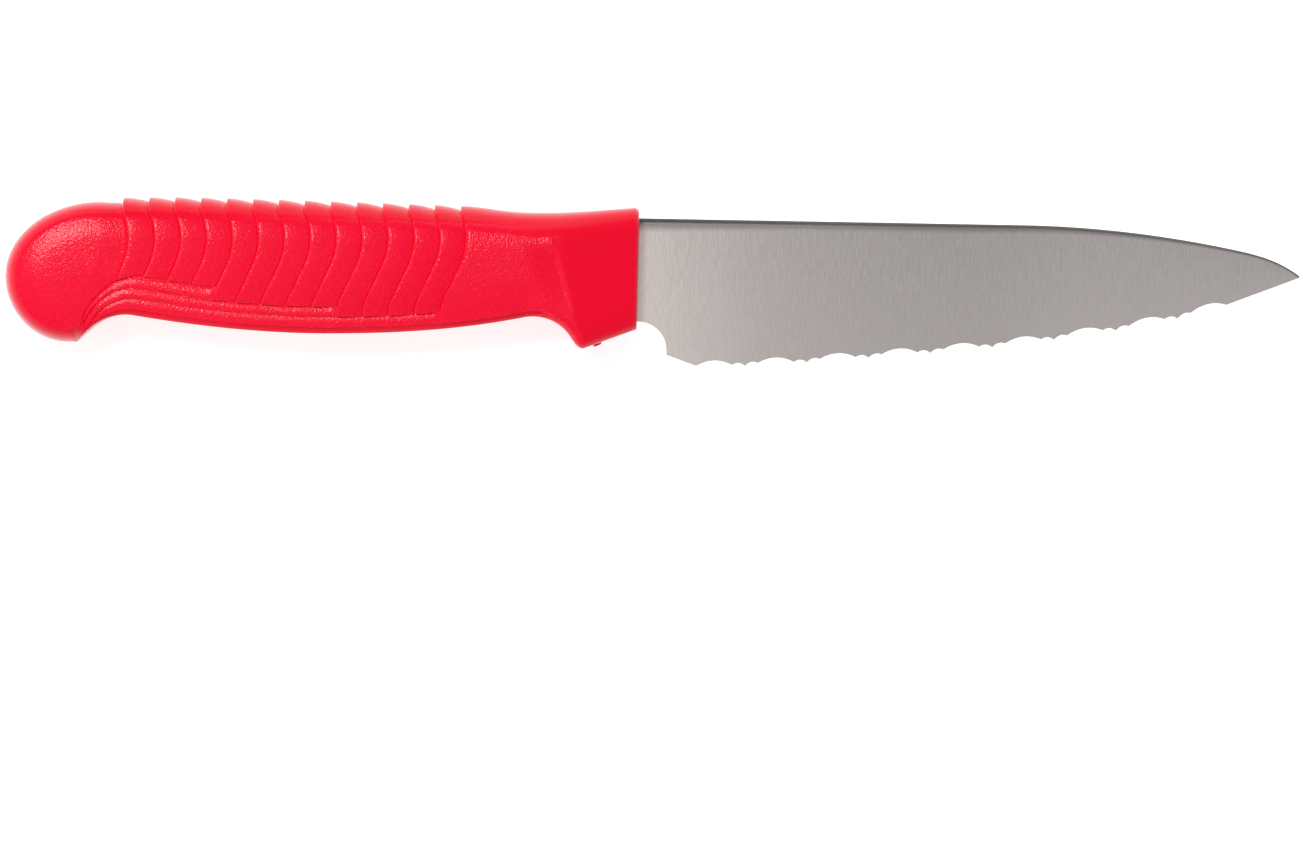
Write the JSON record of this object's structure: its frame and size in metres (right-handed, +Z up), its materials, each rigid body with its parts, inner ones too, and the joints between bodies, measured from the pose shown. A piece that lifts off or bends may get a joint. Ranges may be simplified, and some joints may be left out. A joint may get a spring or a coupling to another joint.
{
  "type": "serrated paring knife",
  "caption": "Small kitchen knife on its side: a thin steel blade with a scalloped, serrated edge and a swept tip, fixed in a moulded red plastic handle with scale ridges and a finger groove",
  "frame": {"origin": "under the middle of the knife, on the surface it lies on", "axes": "+X runs from the butt of the handle to the tip of the blade, +Y from the edge to the spine, +Z up out of the side the knife lies on"},
  "size_m": [0.223, 0.0292, 0.0156],
  "materials": {
    "blade_steel": "fine vertical grinding grain over the whole face, satin; plain stock finish on the spine",
    "handle_plastic": "bright red moulding, finely textured on the grip panels and smoother on the rims and at the front"
  },
  "bodies": {
    "root": {"blade": "blade_steel", "handle": "handle_plastic"}
  },
  "joints": []
}
